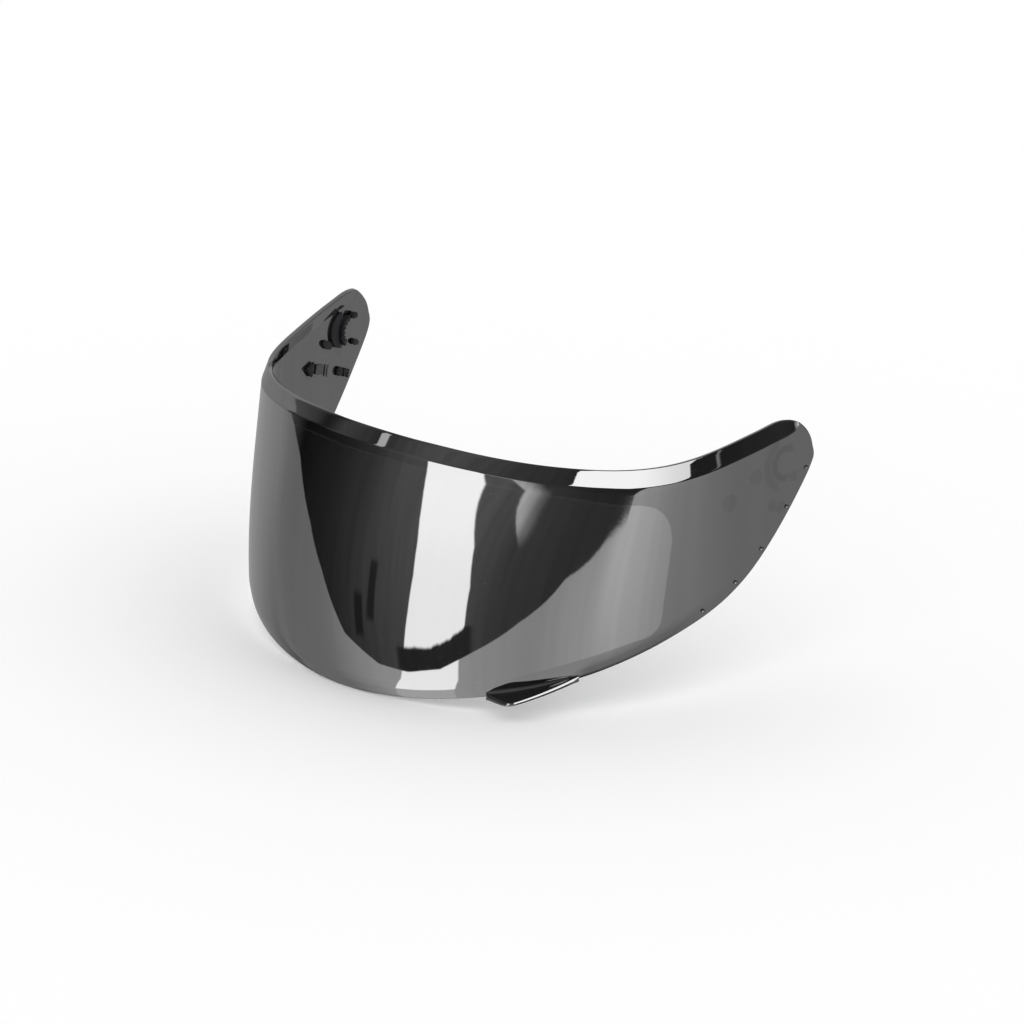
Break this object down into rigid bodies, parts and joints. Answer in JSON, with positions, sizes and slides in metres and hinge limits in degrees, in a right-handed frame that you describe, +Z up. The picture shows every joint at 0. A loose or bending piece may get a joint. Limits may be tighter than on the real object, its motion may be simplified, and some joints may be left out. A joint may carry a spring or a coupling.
{
  "type": "motorcycle helmet visor",
  "caption": "Tinted wrap-around visor of a full-face helmet with an anti-fog insert on eccentric pins and moulded pivot racks, catches and hooks inside both arms.",
  "frame": {"origin": "middle of the bottom of the visor's bounding box", "axes": "+X towards the wearer's left, -Y the way the wearer looks, +Z up"},
  "size_m": [0.2454, 0.1546, 0.1073],
  "materials": {
    "smoke_polycarbonate": "polished tinted polycarbonate",
    "clear_insert": "clear anti-fog film",
    "silicone_bead": "soft matt silicone",
    "black_plastic": "moulded, half matt",
    "grey_plastic": "moulded, half matt"
  },
  "bodies": {
    "visor": {"visor_shell": "smoke_polycarbonate", "lift_tab": "smoke_polycarbonate", "antifog_insert": "clear_insert", "insert_seal": "silicone_bead", "toothed_rack_left": "black_plastic", "upper_catch_left": "black_plastic", "guide_pad_left": "grey_plastic", "lower_lug_left": "grey_plastic", "stop_pad_left": "grey_plastic", "front_lug_left": "black_plastic", "wear_pad_left": "grey_plastic", "arc_rib_left": "grey_plastic", "hook_boss_left": "grey_plastic", "rear_hook_left": "black_plastic", "pin_seat_left": "black_plastic", "edge_pip_left_1": "smoke_polycarbonate", "edge_pip_left_2": "smoke_polycarbonate", "edge_pip_left_3": "smoke_polycarbonate", "edge_pip_left_4": "smoke_polycarbonate", "edge_pip_left_5": "smoke_polycarbonate", "toothed_rack_right": "black_plastic", "upper_catch_right": "black_plastic", "guide_pad_right": "grey_plastic", "lower_lug_right": "grey_plastic", "stop_pad_right": "grey_plastic", "front_lug_right": "black_plastic", "wear_pad_right": "grey_plastic", "arc_rib_right": "grey_plastic", "hook_boss_right": "grey_plastic", "rear_hook_right": "black_plastic", "pin_seat_right": "black_plastic", "edge_pip_right_1": "smoke_polycarbonate", "edge_pip_right_2": "smoke_polycarbonate", "edge_pip_right_3": "smoke_polycarbonate", "edge_pip_right_4": "smoke_polycarbonate", "edge_pip_right_5": "smoke_polycarbonate"},
    "insert_pin_left": {"insert_pin_left": "black_plastic"},
    "insert_pin_right": {"insert_pin_right": "black_plastic"}
  },
  "joints": [
    {"name": "insert_pin_left_turn", "type": "hinge", "parent": "visor", "child": "insert_pin_left", "pos_m": [0.10427, -0.00175, 0.05487], "axis": [0.9319, -0.3627, 0.0095], "range_deg": [-90, 90]},
    {"name": "insert_pin_right_turn", "type": "hinge", "parent": "visor", "child": "insert_pin_right", "pos_m": [-0.10427, -0.00175, 0.05487], "axis": [-0.9319, -0.3627, 0.0095], "range_deg": [-90, 90]}
  ]
}
